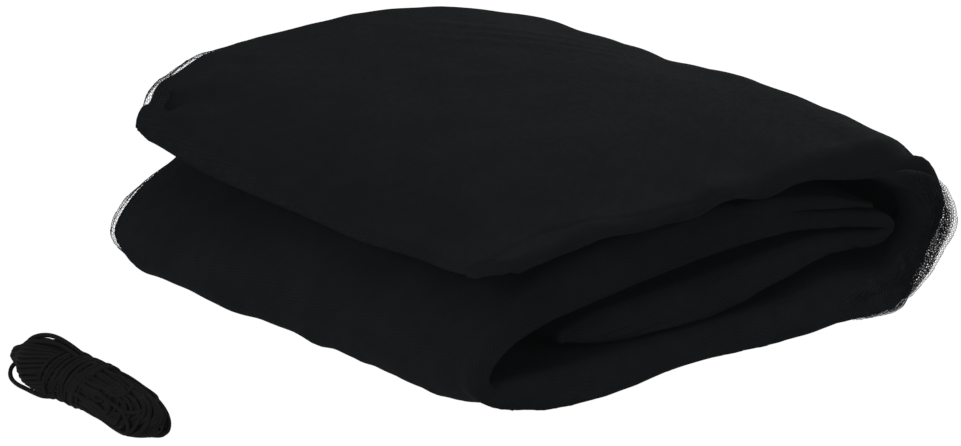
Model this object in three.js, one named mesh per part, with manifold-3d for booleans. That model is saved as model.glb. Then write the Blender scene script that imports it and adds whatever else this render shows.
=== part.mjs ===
// A folded umbrella mosquito net and the hank of tie cord that lies beside it.
// Millimetres, +Z up. The origin is the middle of the net's underside, on the floor.
// X runs across the folded strip, from the fold that faces the cord to the far fold.
// Y runs along the folds, with the layered front end at -Y.
import * as THREE from "three";
import { mergeVertices } from "three/addons/utils/BufferGeometryUtils.js";
import Module from "manifold-3d";

const wasm = await Module();
wasm.setup();

// Driving dimensions of the folded net
const NET_HALF_LENGTH = 193;
const NET_HALF_WIDTH = 200;
const TOP_LEVEL = 125;
const LAYER_STEP = 20;
const FOLD_STEP = 8;
const MIDDLE_STATIONS = 8;
const NOSE_ANGLES_DEG = [13, 34, 55, 74, 90];
const NOSE_DROOP = 0.45;
const TIP_BULGE = 0.7;

// The strip of stacked plies, walked from its inner end to the free edge of the top flap.
// across and up place the middle of the stack, thick is its thickness,
// nose is the depth of its rounded ends, front and back are how far those ends stand out.
const STRIP = [
  { fold: "inner end", across: -128, up: 43, thick: 9, nose: 7, front: -12, back: -6 },
  { fold: "first layer", across: -104, up: 43.5, thick: 23, nose: 12, front: -9, back: -4 },
  { fold: "first layer", across: -50, up: 43, thick: 29, nose: 15, front: -5, back: -2 },
  { fold: "first layer", across: 5, up: 43, thick: 31, nose: 15, front: -5, back: -2 },
  { fold: "first layer", across: 50, up: 48.5, thick: 25, nose: 12, front: -6, back: -2 },
  { fold: "first layer", across: 90, up: 55, thick: 16, nose: 8, front: -8, back: -6 },
  { fold: "inner fold", across: 122, up: 54, thick: 12, nose: 6, front: -9, back: -22 },
  { fold: "inner fold", across: 141, up: 53.5, thick: 10.5, nose: 5, front: -9, back: -30 },
  { fold: "inner fold", across: 149, up: 60.5, thick: 10.5, nose: 5, front: -9, back: -32 },
  { fold: "inner fold", across: 141, up: 67.5, thick: 10.5, nose: 5, front: -9, back: -30 },
  { fold: "inner fold", across: 120, up: 69, thick: 11, nose: 5, front: -10, back: -22 },
  { fold: "second layer", across: 75, up: 74, thick: 14, nose: 7, front: -10, back: -8 },
  { fold: "second layer", across: 20, up: 80.5, thick: 29, nose: 15, front: -7, back: -4 },
  { fold: "second layer", across: -35, up: 81.5, thick: 33, nose: 16, front: -4, back: -2 },
  { fold: "second layer", across: -95, up: 77.5, thick: 34, nose: 16, front: -2, back: 0 },
  { fold: "second layer", across: -148, up: 70.5, thick: 31, nose: 14, front: -1, back: -4 },
  { fold: "left fold", across: -182, up: 57, thick: 23, nose: 10, front: -2, back: -14 },
  { fold: "left fold", across: -197, up: 37, thick: 19, nose: 9, front: -4, back: -18 },
  { fold: "left fold", across: -190, up: 18, thick: 20, nose: 9, front: -5, back: -14 },
  { fold: "bottom layer", across: -162, up: 13, thick: 27, nose: 11, front: -2, back: -6 },
  { fold: "bottom layer", across: -80, up: 12.5, thick: 28, nose: 12, front: 4, back: 2 },
  { fold: "bottom layer", across: 0, up: 11, thick: 25, nose: 12, front: 5, back: 2 },
  { fold: "bottom layer", across: 50, up: 12.5, thick: 28, nose: 12, front: 4, back: 2 },
  { fold: "bottom layer", across: 95, up: 16.5, thick: 36, nose: 13, front: 4, back: -6 },
  { fold: "bottom layer", across: 140, up: 16, thick: 33, nose: 14, front: 3, back: -20 },
  { fold: "right fold", across: 173, up: 25.5, thick: 31, nose: 14, front: -1, back: -34 },
  { fold: "right fold", across: 187, up: 54, thick: 30, nose: 14, front: -4, back: -40 },
  { fold: "right fold", across: 178, up: 82, thick: 30, nose: 14, front: -3, back: -36 },
  { fold: "top flap", across: 144, up: 103, thick: 26, nose: 13, front: -1, back: -26 },
  { fold: "top flap", across: 75, up: 115.5, thick: 22, nose: 12, front: 1, back: -10 },
  { fold: "top flap", across: 0, up: 117, thick: 22, nose: 12, front: 2, back: -2 },
  { fold: "top flap", across: -75, up: 116.5, thick: 21, nose: 12, front: 3, back: -2 },
  { fold: "top flap", across: -140, up: 112.5, thick: 18, nose: 10, front: 3, back: -8 },
  { fold: "top flap", across: -176, up: 107.5, thick: 16, nose: 8, front: 2, back: -17 },
  { fold: "free edge", across: -200, up: 103, thick: 10, nose: 6, front: 0, back: -36 },
];

// A spare ply that parts from the second layer and ends in a soft tongue under the flap.
const TONGUE = [
  { fold: "root", across: 8, up: 88, thick: 12, nose: 6, front: -11, back: -6 },
  { fold: "tongue", across: 55, up: 88, thick: 12, nose: 6, front: -11, back: -8 },
  { fold: "tongue", across: 100, up: 86.5, thick: 11, nose: 6, front: -12, back: -20 },
  { fold: "tip", across: 130, up: 84, thick: 7, nose: 4, front: -13, back: -28 },
];

// How the bundle settles. Each row is the lift of the top at one place along the folds,
// on the side by the cord, in the middle and on the far side.
const LIFT = [
  { along: -NET_HALF_LENGTH, cordSide: 0, middle: 0, farSide: 0 },
  { along: -NET_HALF_LENGTH / 3, cordSide: 4, middle: 9, farSide: 0 },
  { along: NET_HALF_LENGTH / 3, cordSide: 7, middle: 11, farSide: -12 },
  { along: NET_HALF_LENGTH, cordSide: 4, middle: 9, farSide: -28 },
];

// By the cord the lower layers slump and bulge towards the back, and the flap swells over them.
const SLUMP_SHARE = 0.2;
const BULGE = 8;
const BULGE_LEVEL = 36;
const FLAP_SWELL = 17;
const CORNER_ACROSS = { from: 60, to: 180 };
const CORNER_ALONG = { from: -75, to: 175 };
const FLAP_BELOW = { from: 86, to: 98 };
const FLAP_ABOVE = { from: 100, to: 122 };

// Driving dimensions of the cord hank
const CORD_DIAMETER = 3;
const HANK_X = -371;
const HANK_Y = -2;
const HANK_SIDES = 24;
const STRAND_RIDGE = 0.7;
const LENGTHWISE_STRANDS = 8;
const TURN_PITCH = 6.4;
const LOOP_STEPS = 14;
const LOOP_SIDES = 8;

// Sections of the wound cord, from its rounded end to the end with the open loops.
// along is the distance from the middle, wide and tall the full section,
// aside and up the place of its middle, and steps the rings to the next row.
const HANK = [
  { zone: "rounded end", along: -74, wide: 8, tall: 9, aside: -1, up: 11, steps: 2 },
  { zone: "rounded end", along: -69, wide: 22, tall: 19, aside: -2, up: 11.5, steps: 3 },
  { zone: "crossed turns", along: -58, wide: 33, tall: 27, aside: -2.5, up: 13, steps: 6 },
  { zone: "crossed turns", along: -38, wide: 36, tall: 30, aside: -2, up: 14, steps: 8 },
  { zone: "crossed turns", along: -12, wide: 35, tall: 31, aside: -1, up: 14.5, steps: 12 },
  { zone: "binding turns", along: 10, wide: 34, tall: 31, aside: 0, up: 14.5, steps: 12 },
  { zone: "binding turns", along: 30, wide: 36, tall: 32, aside: 1, up: 15, steps: 5 },
  { zone: "long strands", along: 46, wide: 39, tall: 32, aside: 1, up: 15, steps: 4 },
  { zone: "long strands", along: 60, wide: 33, tall: 28, aside: 1, up: 14, steps: 3 },
  { zone: "long strands", along: 69, wide: 19, tall: 17, aside: 1, up: 13, steps: 1 },
];

// Open loops at the far end, as places along the cord's middle: [aside, along, up].
const LOOPS = {
  upper: [[4, 36, 23], [11, 55, 27], [11, 68, 25], [4, 75, 20], [-2, 68, 15], [-2, 50, 13]],
  middle: [[-3, 42, 21], [-4, 64, 20], [-5, 74, 16], [-1, 76, 11], [4, 66, 9], [4, 46, 9]],
  low: [[-9, 40, 11], [-8, 60, 9], [-7, 73, 5], [-11, 76, 2.5], [-15, 62, 2.5], [-14, 40, 5]],
};

function radians(degrees) {
  return THREE.MathUtils.degToRad(degrees);
}

// Samples of a strip: place, thickness and ends, with the unit direction along the stack.
function stripSamples(rows) {
  const place = new THREE.CatmullRomCurve3(
    rows.map((r) => new THREE.Vector3(r.across, r.up, r.thick)), false, "centripetal");
  const ends = new THREE.CatmullRomCurve3(
    rows.map((r) => new THREE.Vector3(r.front, r.back, r.nose)), false, "centripetal");
  const samples = [];
  for (let k = 0; k + 1 < rows.length; k++) {
    const reach = Math.hypot(rows[k + 1].across - rows[k].across, rows[k + 1].up - rows[k].up);
    const bent = rows[k].fold.endsWith("fold") || rows[k + 1].fold.endsWith("fold");
    const steps = Math.max(1, Math.round(reach / (bent ? FOLD_STEP : LAYER_STEP)));
    const closing = k + 2 === rows.length ? 1 : 0;
    for (let j = 0; j < steps + closing; j++) {
      const t = (k + j / steps) / (rows.length - 1);
      const middle = place.getPoint(t);
      const end = ends.getPoint(t);
      const tangent = place.getTangent(t);
      const size = Math.hypot(tangent.x, tangent.y);
      samples.push({
        across: middle.x, up: middle.y, half: middle.z / 2,
        along: { across: tangent.x / size, up: tangent.y / size },
        front: end.x, back: end.y, nose: end.z,
      });
    }
  }
  return samples;
}

// Stations along Y: rounded noses at both ends and even steps between them.
function stations() {
  const nose = (end) => (angle) => (
    { end, depth: 1 - Math.cos(radians(angle)), swell: Math.sin(radians(angle)) });
  const list = NOSE_ANGLES_DEG.map(nose("front"));
  for (let k = 1; k <= MIDDLE_STATIONS; k++) {
    list.push({ end: "middle", share: k / (MIDDLE_STATIONS + 1), swell: 1 });
  }
  return [...list, ...[...NOSE_ANGLES_DEG].reverse().map(nose("back"))];
}

function stationY(sample, station) {
  const front = -NET_HALF_LENGTH - sample.front;
  const back = NET_HALF_LENGTH + sample.back;
  if (station.end === "front") return front + station.depth * sample.nose;
  if (station.end === "back") return back - station.depth * sample.nose;
  return THREE.MathUtils.lerp(front + sample.nose, back - sample.nose, station.share);
}

// Lift of the top at a place, read from the table across and along.
function liftAt(x, y) {
  const across = THREE.MathUtils.clamp(x / NET_HALF_WIDTH, -1, 1);
  const lifts = LIFT.map((row) => {
    const side = across < 0 ? row.cordSide : row.farSide;
    return THREE.MathUtils.lerp(row.middle, side, across ** 2);
  });
  const step = (LIFT.length - 1) * THREE.MathUtils.clamp(y / (2 * NET_HALF_LENGTH) + 0.5, 0, 1);
  const k = Math.min(LIFT.length - 2, Math.floor(step));
  return THREE.MathUtils.lerp(lifts[k], lifts[k + 1], THREE.MathUtils.smoothstep(step - k, 0, 1));
}

function ramp(value, range) {
  return THREE.MathUtils.smoothstep(value, range.from, range.to);
}

// The crown, slump, bulge and swell of the whole bundle. The floor stays flat.
function settle(x, y, z) {
  const corner = ramp(-x, CORNER_ACROSS) * ramp(y, CORNER_ALONG);
  const lifted = z * (1 + liftAt(x, y) / TOP_LEVEL);
  const slumped = lifted * (1 - SLUMP_SHARE * corner * (1 - ramp(z, FLAP_BELOW)));
  const swelled = slumped + FLAP_SWELL * corner * ramp(z, FLAP_ABOVE);
  const bulge = BULGE * corner * Math.exp(-(((z - BULGE_LEVEL) / BULGE_LEVEL) ** 2));
  return new THREE.Vector3(x - bulge, y, Math.max(0, swelled));
}

// One closed ring of points round the strip at a station.
function ring(samples, station) {
  const level = (s) => s.up - NOSE_DROOP * s.half * (1 - station.swell);
  const side = (s, sign) => settle(
    s.across - sign * s.along.up * s.half * station.swell,
    stationY(s, station),
    level(s) + sign * s.along.across * s.half * station.swell);
  const tip = (s, sign) => settle(
    s.across + sign * s.along.across * s.half * station.swell * TIP_BULGE,
    stationY(s, station),
    level(s) + sign * s.along.up * s.half * station.swell * TIP_BULGE);
  return [
    ...samples.map((s) => side(s, 1)),
    tip(samples[samples.length - 1], 1),
    ...[...samples].reverse().map((s) => side(s, -1)),
    tip(samples[0], -1),
  ];
}

// A closed geometry through rings of equal length, capped at both ends.
function loft(rings) {
  const count = rings[0].length;
  const faces = [];
  for (let j = 0; j + 1 < rings.length; j++) {
    for (let i = 0; i < count; i++) {
      const a = j * count + i;
      const b = j * count + ((i + 1) % count);
      faces.push(a, b, a + count, b, b + count, a + count);
    }
  }
  const cap = (ringPoints, offset, reversed) => {
    const outline = ringPoints.map((p) => new THREE.Vector2(p.x, p.z));
    const flip = THREE.ShapeUtils.isClockWise(outline) !== reversed;
    for (const [a, b, c] of THREE.ShapeUtils.triangulateShape(outline, [])) {
      faces.push(offset + a, offset + (flip ? c : b), offset + (flip ? b : c));
    }
  };
  cap(rings[0], 0, true);
  cap(rings[rings.length - 1], (rings.length - 1) * count, false);
  const geometry = new THREE.BufferGeometry().setFromPoints(rings.flat());
  geometry.setIndex(faces);
  return geometry;
}

function solid(geometry) {
  const bare = geometry.clone();
  bare.deleteAttribute("normal");
  bare.deleteAttribute("uv");
  const merged = mergeVertices(bare, 1e-3);
  return new wasm.Manifold(new wasm.Mesh({
    numProp: 3,
    vertProperties: merged.attributes.position.array,
    triVerts: new Uint32Array(merged.index.array),
  }));
}

function geometryOf(manifold) {
  const mesh = manifold.getMesh();
  const geometry = new THREE.BufferGeometry();
  geometry.setAttribute("position", new THREE.BufferAttribute(mesh.vertProperties, 3));
  geometry.setIndex(new THREE.BufferAttribute(mesh.triVerts, 1));
  geometry.computeVertexNormals();
  return geometry;
}

function stripSolid(rows) {
  const samples = stripSamples(rows);
  return solid(loft(stations().map((station) => ring(samples, station))));
}

// How far the wound cord stands out from the section's ellipse: turns round the binding,
// slanting turns over the rounded end and lengthwise strands at the loops.
function woundRidge(zone, along, angle) {
  const turn = (2 * Math.PI * along) / TURN_PITCH;
  if (zone === "binding turns") return STRAND_RIDGE * Math.cos(turn + angle);
  if (zone === "crossed turns") return STRAND_RIDGE * Math.cos(turn / 2 + 3 * angle);
  if (zone === "long strands") return STRAND_RIDGE * Math.cos(LENGTHWISE_STRANDS * angle);
  return 0;
}

function hankRing(section) {
  const points = [];
  for (let k = 0; k < HANK_SIDES; k++) {
    const angle = (-2 * Math.PI * k) / HANK_SIDES;
    const ridge = woundRidge(section.zone, section.along, angle);
    points.push(new THREE.Vector3(
      section.aside + (section.wide / 2 + ridge) * Math.cos(angle),
      section.along,
      Math.max(0, section.up + (section.tall / 2 + ridge) * Math.sin(angle))));
  }
  return points;
}

function hankBody() {
  const sizes = new THREE.CatmullRomCurve3(
    HANK.map((r) => new THREE.Vector3(r.along, r.wide, r.tall)), false, "centripetal");
  const middles = new THREE.CatmullRomCurve3(
    HANK.map((r) => new THREE.Vector3(r.along, r.aside, r.up)), false, "centripetal");
  const rings = [];
  HANK.forEach((row, k) => {
    for (let j = 0; j < row.steps; j++) {
      const t = Math.min(1, (k + j / row.steps) / (HANK.length - 1));
      const size = sizes.getPoint(t);
      const middle = middles.getPoint(t);
      rings.push(hankRing({
        zone: row.zone, along: size.x, wide: size.y, tall: size.z, aside: middle.y, up: middle.z,
      }));
    }
  });
  return solid(loft(rings));
}

function loopSolid(route) {
  const path = new THREE.CatmullRomCurve3(route.map((p) => new THREE.Vector3(...p)));
  const circle = new THREE.Shape().absarc(0, 0, CORD_DIAMETER / 2, 0, 2 * Math.PI);
  return solid(new THREE.ExtrudeGeometry(circle, {
    steps: LOOP_STEPS, curveSegments: LOOP_SIDES, bevelEnabled: false, extrudePath: path,
  }));
}

const netting = new THREE.MeshStandardMaterial({ color: 0x17181a, roughness: 0.95, metalness: 0 });
const cording = new THREE.MeshStandardMaterial({ color: 0x141415, roughness: 0.8, metalness: 0 });

const net = new THREE.Mesh(geometryOf(stripSolid(STRIP).add(stripSolid(TONGUE))), netting);
net.name = "folded_net";

const hankForm = Object.values(LOOPS).reduce((body, route) => body.add(loopSolid(route)), hankBody());
const hank = new THREE.Mesh(geometryOf(hankForm), cording);
hank.name = "cord_hank";
hank.position.set(HANK_X, HANK_Y, 0);

const part = new THREE.Group();
part.add(net);
part.add(hank);

export default part;
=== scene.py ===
import math

import bpy
import numpy as np
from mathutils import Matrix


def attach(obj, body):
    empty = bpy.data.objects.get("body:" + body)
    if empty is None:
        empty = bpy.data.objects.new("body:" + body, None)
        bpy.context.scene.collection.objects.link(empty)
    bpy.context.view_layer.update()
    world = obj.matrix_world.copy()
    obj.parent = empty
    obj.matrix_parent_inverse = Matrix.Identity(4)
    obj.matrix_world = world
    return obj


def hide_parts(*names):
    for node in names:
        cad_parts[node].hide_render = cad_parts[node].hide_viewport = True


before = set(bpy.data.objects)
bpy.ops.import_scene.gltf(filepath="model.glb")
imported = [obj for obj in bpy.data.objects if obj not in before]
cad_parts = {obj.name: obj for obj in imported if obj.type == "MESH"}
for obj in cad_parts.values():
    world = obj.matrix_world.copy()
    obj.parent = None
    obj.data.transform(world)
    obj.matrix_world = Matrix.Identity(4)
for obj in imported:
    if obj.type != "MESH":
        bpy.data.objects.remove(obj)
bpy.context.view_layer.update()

# Sizes are in millimetres until a mesh is made
MM = 0.001
TURN = 2 * math.pi

# The least length that anything is divided by
TINY = 1e-6

# The folded net's main sizes
HALF_LENGTH = 193
HALF_WIDTH = 200
TOP_LEVEL = 125
NOSE_DROOP = 0.45
NOSE_BLUNT = 2.4
TIP_REACH = 6
TIP_ROUND = 8

# The strip of stacked plies, walked from its inner end to the free edge of the top flap. The nose is
# the reach of its rounded ends, and front and back are how far those ends stand past the half length.
STRIP_COLUMNS = ("fold", "across", "up", "thick", "nose", "front", "back")
STRIP = [
    ("inner end", -121, 37.5, 9, 6, -15, -6),
    ("first layer", -102, 38.5, 20, 11, -9, -4),
    ("first layer", -50, 39, 26, 13, -5, -2),
    ("first layer", 5, 40, 28, 14, -5, -2),
    ("first layer", 50, 45.5, 23, 11, -6, -2),
    ("first layer", 90, 50.5, 16, 8, -8, -6),
    ("inner fold", 126, 48, 12, 6, -9, -22),
    ("inner fold", 147, 46, 10.5, 5, -9, -30),
    ("inner fold", 155.5, 51.8, 10.5, 5, -9, -32),
    ("inner fold", 148, 57.6, 10.5, 5, -9, -30),
    ("inner fold", 122, 63.5, 11, 5, -10, -22),
    ("second layer", 76, 72.5, 14, 7, -10, -8),
    ("second layer", 20, 80.5, 29, 15, -7, -4),
    ("second layer", -35, 81.5, 33, 16, -4, -2),
    ("second layer", -95, 77.5, 34, 16, -2, 0),
    ("second layer", -148, 70.5, 31, 14, -1, -9),
    ("left fold", -182, 57, 23, 10, -1, -13),
    ("left fold", -198, 37, 19, 9, -4, -17),
    ("left fold", -193, 17, 20, 9, -6, -33),
    ("bottom layer", -164, 12.5, 27, 11, 3.5, -18),
    ("bottom layer", -95, 12.5, 28, 12, 7.5, 0),
    ("bottom layer", -20, 11, 25, 12, -1.5, 2),
    ("bottom layer", 50, 12.5, 28, 12, 7.5, 2),
    ("bottom layer", 95, 16, 35, 13, 8, -6),
    ("bottom layer", 145, 14.5, 31, 14, 8, -20),
    ("right fold", 173, 24, 31, 14, -9, -34),
    ("right fold", 183, 40, 33, 14, -8.5, -38),
    ("right fold", 186, 61, 34, 14, -2, -40),
    ("right fold", 177, 83, 33.5, 14, -3.5, -36),
    ("top flap", 144, 102.7, 29, 13, -1, -26),
    ("top flap", 110, 109, 26, 12, 0, -16),
    ("top flap", 75, 115, 22, 12, 1, -8),
    ("top flap", 0, 117, 22, 12, 2, -2),
    ("top flap", -75, 116.5, 21, 12, 3, 1.5),
    ("top flap", -140, 112.5, 18, 10, 3, -13.5),
    ("top flap", -176, 107.5, 16, 8, 6, -22.5),
    ("free edge", -198, 102.5, 13, 7, -7, -35.5),
]

# The spare ply that parts from the second layer and ends in a soft tongue under the flap
TONGUE = [
    ("root", 8, 88, 12, 6, -11, -6),
    ("tongue", 55, 86.5, 12, 6, -11, -8),
    ("tongue", 102, 79.5, 8, 5, -12, -20),
    ("tip", 139, 69.5, 3, 2, -14, -28),
]

# How the bundle settles: the lift of its top along the folds, by the cord, in the middle, far off
LIFT_COLUMNS = ("along", "cord_side", "middle", "far_side")
LIFT = [
    (-HALF_LENGTH, 0, 0, -5),
    (-HALF_LENGTH / 3, 4, 9, -1),
    (HALF_LENGTH / 3, 7, 11, -15),
    (HALF_LENGTH, 11.5, 9, -20),
]
LIFT_POWERS = (2, 1.35)

# At the far corner by the cord the layers slump and bulge, and the flap swells over them
SLUMP_SHARE = 0.2
BULGE = 8
BULGE_LEVEL = 36
FLAP_SWELL = 11
CORNER_ACROSS = (60, 180)
CORNER_ALONG = (-75, 175)
FLAP_BELOW = (86, 98)
FLAP_ABOVE = (100, 122)

# The near left corner is tucked in at the floor
TUCK = 13
TUCK_ALONG = (117, 198)
TUCK_ACROSS = (115, 190)
TUCK_UP = (0, 26)

# The flap's free edge: thin at the near corner, lifted and plump at the far one
EDGE_BAND = 55
EDGE_THIN = 0.6
EDGE_PLUMP = 1.5
EDGE_ALONG = (-190, 120)
EDGE_LIFT = 4.3
EDGE_LIFT_BAND = 34
EDGE_SAG = 4
EDGE_SAG_PLACE = (20, 20)
EDGE_SKEW = 2.5
EDGE_FAR = (0, 150)

# The free edge droops: place along the folds, way down
DROOP = [(-193, -3.5), (-146, 2.6), (-65, 8.5), (7, 6.2), (100, 5.5), (150, 2.5), (193, 2)]
DROOP_BAND = 70

# The flap's top rolls down to a thinner front: place across, share of its thickness that is lost
FRONT_ROLL = [
    (-197, 0.1), (-172, 0.4), (-135, 0.6), (-60, 0.66), (-12, 0.7), (40, 0.45), (105, 0.12), (150, 0),
]
FRONT_ROLL_FADE = 85

# The flap's front edge rises and dips: place across, rise
FLAP_WAVE = [
    (-198, -1.5), (-186, -2.2), (-165, -1.5), (-137, 0.5), (-107, 3), (-72, -1),
    (-26, -1.5), (-2, 3), (36, -4), (73, 0), (136, 0),
]
FLAP_WAVE_FADE = 45

# The flap's upper plies stop short of its front and leave a small ledge: place across, distance in
LEDGE = [(-197, 6), (-172, 19), (-140, 20), (-112, 15), (-92, 10), (-50, 6), (-12, 5), (8, 2)]
LEDGE_STEP = 2.2
LEDGE_SHARP = 1.0
LEDGE_ENDS_ACROSS = (-14, 14)
LEDGE_FADE = (28, 90)
LEDGE_GROOVE = 1.0
LEDGE_GROOVE_WIDE = 1.3

# Waves in the ledge's line. Here and below a wave is a height, a turn for each step, and a shift.
LEDGE_JITTER = [(0.5, 0.71, 0), (0.5, 1.13, 2)]

# Creases and ridges: fold, share of it and place along y, the same two at the other end, width, height
CREASES = [
    ("left fold", -0.1, -14, 0.9, -20, 8, 0.9),
    ("left fold", 0.0, -38, 0.8, -34, 9, -0.8),
    ("left fold", 0.1, -60, 1.0, -64, 7, 1.0),
    ("left fold", 0.1, -98, 0.6, -94, 10, -0.5),
    ("left fold", 0.5, -88, 1.1, -84, 14, 1.3),
    ("left fold", 0.0, -131, 1.0, -138, 7, 1.2),
    ("left fold", 0.1, -154, 1.0, -152, 8, 0.8),
    ("left fold", 0.0, -174, 1.1, -172, 6, -1.3),
    ("left fold", 0.0, 70, 0.8, 58, 14, 0.8),
    ("left fold", 0.2, 118, 0.9, 106, 12, -0.8),
    ("top flap", 0.41, 106, 0.14, 26, 6, 1.0),
    ("top flap", 0.38, 122, 0.10, 41, 6, 0.9),
    ("top flap", 0.34, 138, 0.08, 58, 7, 0.8),
    ("top flap", 0.62, 40, 0.40, -6, 16, -0.8),
    ("top flap", 0.86, -40, 0.60, -96, 18, 0.7),
    ("top flap", 0.22, -110, 0.08, -60, 14, -0.8),
    ("top flap", 0.90, 96, 1.0, 118, 7, 0.7),
    ("top flap", 0.88, 118, 1.0, 140, 7, -0.6),
    ("top flap", 0.86, 132, 0.97, 156, 6, 0.8),
    ("top flap", 0.80, 148, 0.90, 172, 7, -0.7),
    ("top flap", 0.74, 152, 0.82, 180, 7, 0.8),
    ("second layer", 0.04, -186, 0.045, -170, 2.6, 2.4),
    ("bottom layer", 0.2, -190, 0.34, -186, 5, 1.0),
    ("right fold", 0.2, 40, 0.9, 24, 12, 1.0),
    ("right fold", 0.1, -30, 0.8, -50, 10, -1.0),
    ("right fold", 0.3, 96, 1.0, 90, 9, -0.9),
]

# Dents in the stack at two corners, in the same columns, which the sheer plies span
CORNER_DENTS = [
    ("right fold", 0.66, -172, 1.08, -202, 6, -6),
    ("top flap", 0.985, 171, 0.968, 140, 7, -4),
]

# The cord hank's place, and its sections from the rounded end to the end with the open loops:
# place along it, width, height, shift aside, height of the middle
CORD_RADIUS = 1.5
HANK_X = -371
HANK_Y = -2
HANK = [
    (-77, 13, 13, -1, 8),
    (-71.5, 25, 23, -1, 7.8),
    (-58, 34, 30, -1, 10.8),
    (-38, 35, 32, 0, 13),
    (-12, 34, 31, 1.5, 14.5),
    (10, 33, 31, 2, 14.5),
    (30, 37, 32, 1, 15),
    (46, 40, 32, 0.5, 15.5),
    (60, 30, 27, 3, 16),
    (69, 17, 16, 3, 15.5),
]

# Single cords that stand open at the loop end, by places on them from the hank's own middle
OPEN_LOOPS = {
    "arch": [(6, 12, 31), (4, 24, 35.2), (3, 36, 36.8), (3, 49, 34.6), (2, 60, 29.8), (0.5, 66.5, 22.5),
             (-1.5, 68, 15), (-2.5, 63, 10.5), (-3, 52, 10)],
    "inner arch": [(1, 10, 30.5), (1, 24, 33.3), (0, 34, 34), (-2.5, 50, 31), (-3, 60, 26.5), (-2, 65, 20),
                   (0, 66, 14), (2, 60, 10)],
    "under arch": [(6, 12, 28.5), (5.5, 22, 32), (5, 31, 33.6), (4, 38, 33.2), (0, 46, 30.5), (-4, 54, 26)],
    "side": [(-4, 42, 27), (-5, 58, 25.5), (-5.5, 68, 22.5), (-5, 70.5, 19.5), (-3.5, 68, 15), (-2, 58, 11)],
    "low": [(-8, 42, 14), (-3, 60, 14), (-0.5, 72, 11), (-4, 74, 8), (-8, 71.5, 5.5), (-11, 66.5, 3.3),
            (-12.5, 59, 2), (-12.6, 49, 1.6), (-13, 40, 1.6), (-14, 28, 3), (-10, 14, 6)],
    "low inner": [(-1, 72, 9), (-4, 64, 7), (-9, 52, 5), (-12, 40, 4.5), (-13.5, 26, 5), (-9, 12, 7)],
}


# Shaping tools


def column(rows, columns, name):
    """One named column of a table."""
    place = columns.index(name)
    return np.array([row[place] for row in rows], float)


def ramp(value, limits):
    """A soft rise from 0 to 1 between two limits."""
    share = np.clip((value - limits[0]) / (limits[1] - limits[0]), 0, 1)
    return share * share * (3 - 2 * share)


def hump(value, middle, wide):
    """A soft hump of height 1."""
    return np.exp(-(((value - middle) / wide) ** 2))


def waves(value, rows, start=1.0):
    """A sum of waves: height, turn for each step of the value, and shift as a multiple of the start."""
    return sum(high * np.sin(turn * value + shift * start) for high, turn, shift in rows)


def unit(vectors):
    """The vectors at length 1."""
    return vectors / np.maximum(np.linalg.norm(vectors, axis=-1, keepdims=True), TINY)


def eased(value, rows):
    """A smooth run through rows of a rising place and a height, level at each of them."""
    places, heights = np.array(rows, float).T
    k = np.clip(np.searchsorted(places, value, side="right") - 1, 0, len(places) - 2)
    share = ramp(value, (places[k], places[k + 1]))
    return heights[k] + (heights[k + 1] - heights[k]) * share


def smooth_line(points, steps):
    """Places on a smooth line through the points, with even steps to each span."""
    points = np.asarray(points, float)
    guided = np.vstack([2 * points[0] - points[1], points, 2 * points[-1] - points[-2]])
    share = np.linspace(0, 1, steps, endpoint=False)[:, None]
    spans = []
    for k in range(len(points) - 1):
        a, b, c, d = guided[k:k + 4]
        before, here, after = (max(np.linalg.norm(q - p), TINY) ** 0.5 for p, q in ((a, b), (b, c), (c, d)))
        leave = here * ((b - a) / before - (c - a) / (before + here) + (c - b) / here)
        arrive = here * ((c - b) / here - (d - b) / (here + after) + (d - c) / after)
        cubic = 2 * b - 2 * c + leave + arrive
        square = 3 * c - 3 * b - 2 * leave - arrive
        spans.append(b + share * (leave + share * (square + share * cubic)))
    return np.vstack(spans + [points[-1:]])


def oval(angle):
    """The blunt oval of a folded end: how far out and how far across at an angle from its tip."""
    out = np.abs(np.cos(angle)) ** (2 / NOSE_BLUNT)
    across = np.sign(np.sin(angle)) * np.abs(np.sin(angle)) ** (2 / NOSE_BLUNT)
    return out, across


def mesh_piece(name, points, faces, material, corners_uv=None, painted_end_shade=None):
    """A smooth piece from points in millimetres, with cloth coordinates and a mask of painted end shade."""
    mesh = bpy.data.meshes.new(name)
    mesh.from_pydata((np.asarray(points) * MM).tolist(), [], faces)
    if corners_uv is not None:
        layer = mesh.uv_layers.new(name="cloth")
        layer.data.foreach_set("uv", np.asarray(corners_uv, np.float32).ravel())
    if painted_end_shade is not None:
        layer = mesh.attributes.new("painted_end_shade", "FLOAT", "POINT")
        layer.data.foreach_set("value", np.asarray(painted_end_shade, np.float32).ravel())
    mesh.polygons.foreach_set("use_smooth", [True] * len(mesh.polygons))
    mesh.materials.append(material)
    mesh.update()
    piece = bpy.data.objects.new(name, mesh)
    bpy.context.scene.collection.objects.link(piece)
    return piece


def loop_faces(rows, count):
    """Quads between neighbouring closed loops."""
    here = np.arange(count)
    after = (here + 1) % count
    first = np.arange(rows - 1)[:, None] * count
    quads = np.stack([first + here, first + after, first + count + after, first + count + here], -1)
    return quads.reshape(-1, 4)


def loop_corners(lengths, around):
    """Corner coordinates for loop_faces: a length for each row, a run for each place and one place more."""
    first = np.stack([lengths[:-1], lengths[:-1], lengths[1:], lengths[1:]], -1)
    second = np.stack([around[:-1, :-1], around[:-1, 1:], around[1:, 1:], around[1:, :-1]], -1)
    first = np.broadcast_to(first[:, None, :], second.shape)
    return np.stack([first, second], -1).reshape(-1, 4, 2)


# The strip and how it settles

# Steps between two rows, then the longest step on the flat and the turn of a step in a bend
SPAN_STEPS = 40
FLAT_STEP = 5.0
BEND_STEP = 0.2
TIP_ANGLES_DEG = (16, 32, 48, 63, 76, 84, 89.99)

# Lengths along the flap over which its own shaping comes in
FLAP_BEGINS = (0, 25)


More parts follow.
